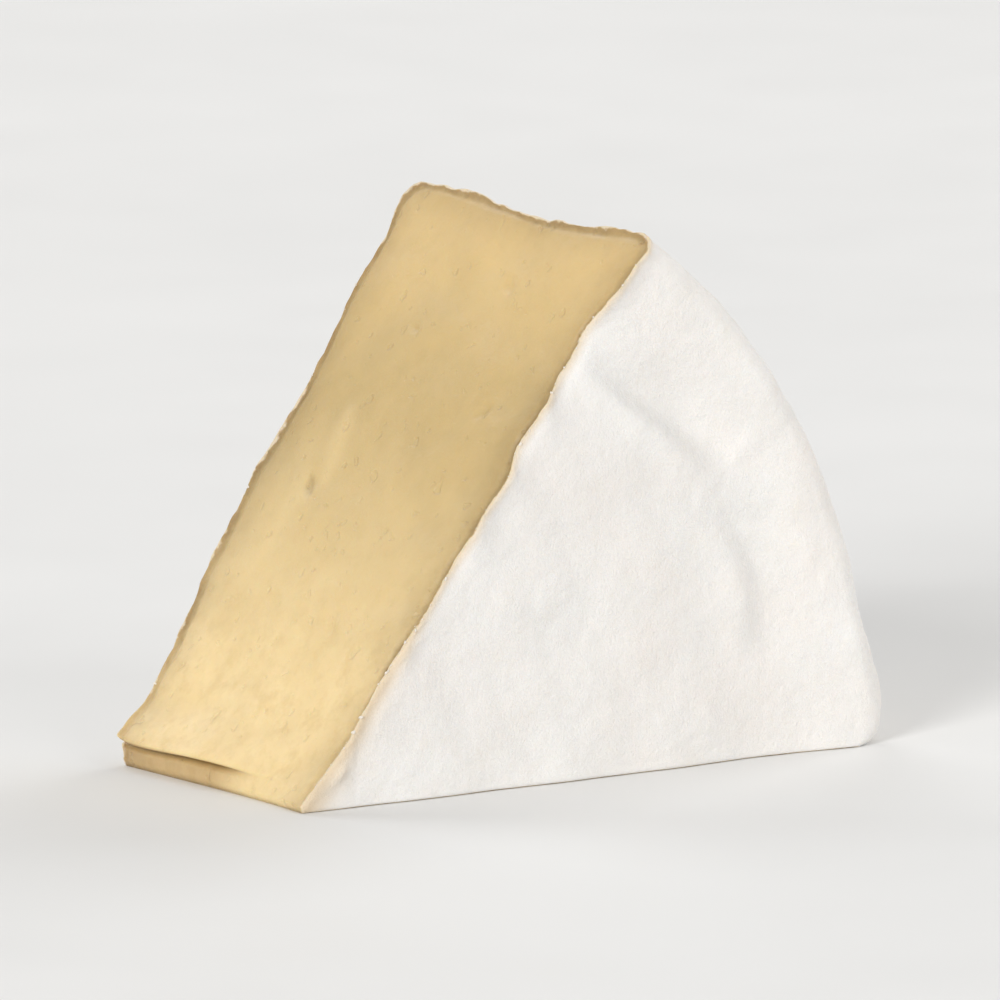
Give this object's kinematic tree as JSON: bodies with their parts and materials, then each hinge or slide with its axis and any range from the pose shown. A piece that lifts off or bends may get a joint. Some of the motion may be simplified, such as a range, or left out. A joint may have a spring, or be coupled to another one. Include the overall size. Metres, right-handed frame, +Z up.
{
  "type": "brie wedge",
  "caption": "Wedge of soft-ripened cheese with a white rind on its faces and side, standing on one cut face, with the pale golden paste showing on the other.",
  "frame": {"origin": "middle of the bounding box of the whole wedge in X and Y, at the height of the cut face that it stands on", "axes": "+X from the point to the rind of the side, +Y through the wheel's thickness from the front face to the back face, +Z up"},
  "size_m": [0.0522, 0.0318, 0.0414],
  "materials": {
    "cheese": "soft matte rind, with a faintly moist paste on the cut"
  },
  "bodies": {
    "root": {"brie_wedge": "cheese"}
  },
  "joints": []
}
